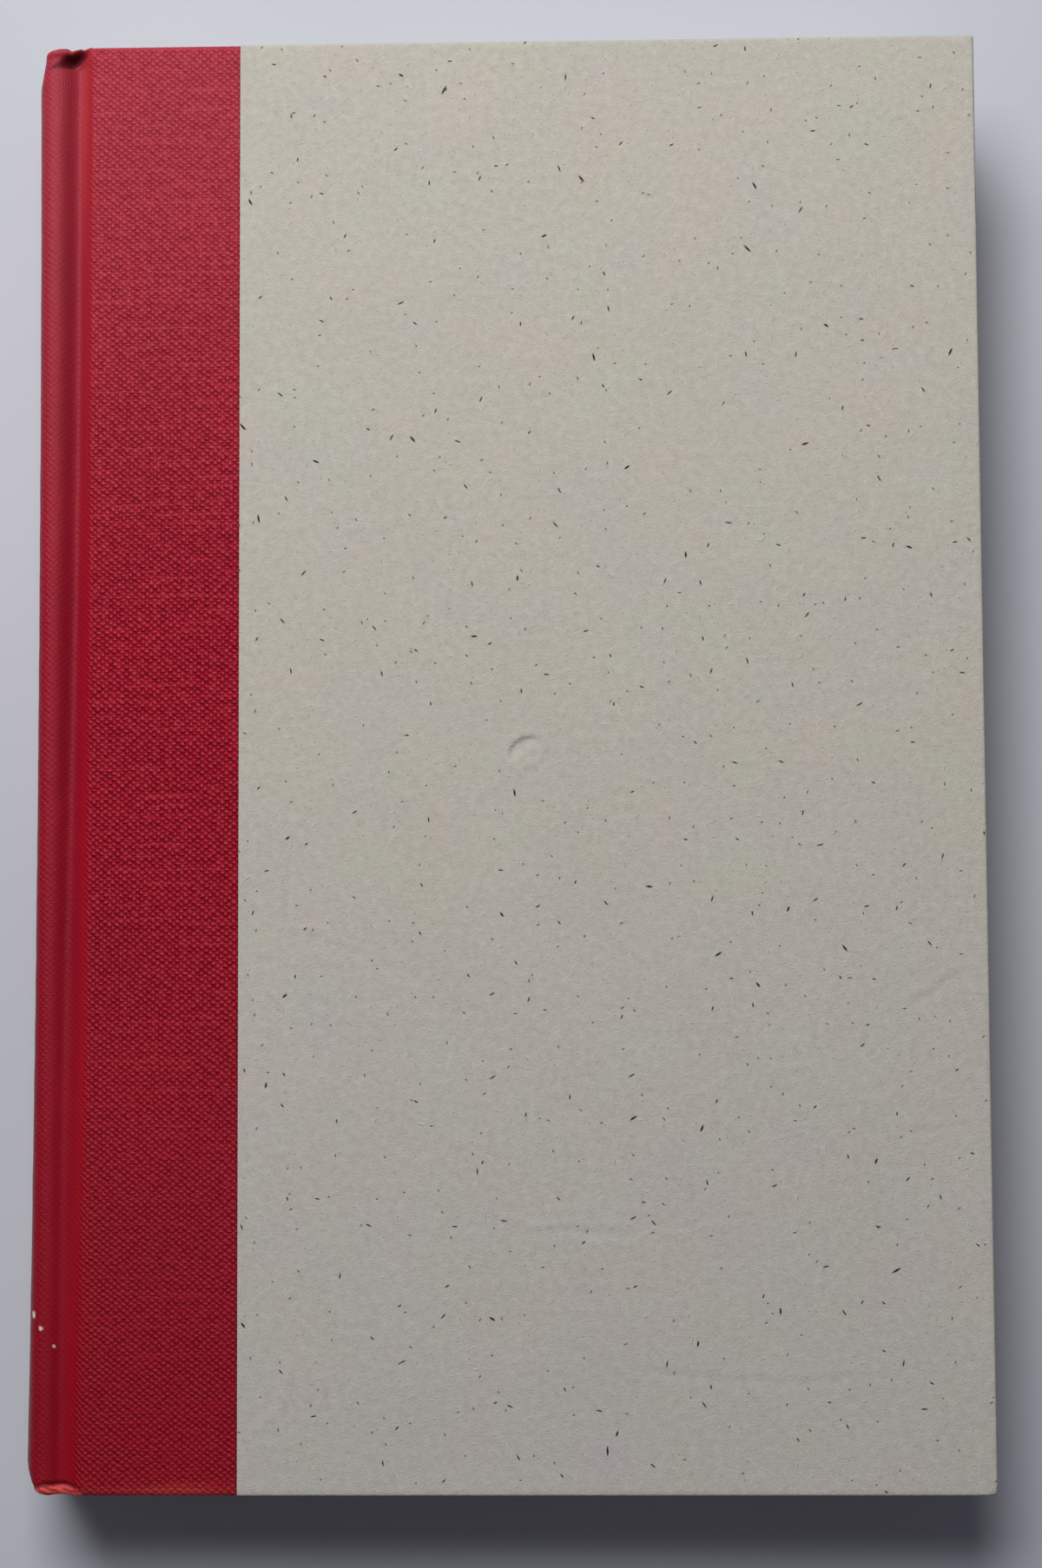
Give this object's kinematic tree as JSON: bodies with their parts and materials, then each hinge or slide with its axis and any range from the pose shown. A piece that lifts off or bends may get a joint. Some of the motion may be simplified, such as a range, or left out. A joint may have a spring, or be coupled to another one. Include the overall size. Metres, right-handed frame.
{
  "type": "hardback book",
  "caption": "Closed case-bound book: cloth spine and joints, paper-covered boards, rounded page block; both covers open on their joints.",
  "frame": {"origin": "centre of the flat face it rests on, the outside of the back cover", "axes": "+X from the spine to the fore edge, +Y from the tail to the head, +Z from the back cover to the front cover"},
  "size_m": [0.1468, 0.2224, 0.0251],
  "materials": {
    "pages": "matte",
    "endpaper": "matte",
    "cover_paper": "matte, flecked",
    "book_cloth": "matte, embossed linen grain",
    "grey_board": "matte",
    "inlay_card": "matte",
    "mull": "open weave",
    "liner_paper": "matte kraft",
    "endband": "woven, red and white"
  },
  "bodies": {
    "text_block": {"page_block": "pages", "front_flyleaf": "endpaper", "back_flyleaf": "endpaper", "mull": "mull", "spine_liner": "liner_paper", "headband": "endband", "tailband": "endband", "spine_inlay": "inlay_card", "spine_cloth": "book_cloth", "front_joint_cloth": "book_cloth", "front_joint_lining": "endpaper", "back_joint_cloth": "book_cloth", "back_joint_lining": "endpaper"},
    "front_cover": {"front_board": "grey_board", "front_cover_paper": "cover_paper", "front_cloth": "book_cloth", "front_mull_flap": "mull", "front_pastedown": "endpaper"},
    "back_cover": {"back_board": "grey_board", "back_cover_paper": "cover_paper", "back_cloth": "book_cloth", "back_mull_flap": "mull", "back_pastedown": "endpaper"}
  },
  "joints": [
    {"name": "front_hinge", "type": "hinge", "parent": "text_block", "child": "front_cover", "pos_m": [-0.06792, 0, 0.02315], "axis": [0, -1, 0], "range_deg": [0, 180], "deforming": ["front_joint_cloth", "front_joint_lining"]},
    {"name": "back_hinge", "type": "hinge", "parent": "text_block", "child": "back_cover", "pos_m": [-0.06792, 0, 0.00195], "axis": [0, 1, 0], "range_deg": [0, 180], "deforming": ["back_joint_cloth", "back_joint_lining"]}
  ]
}
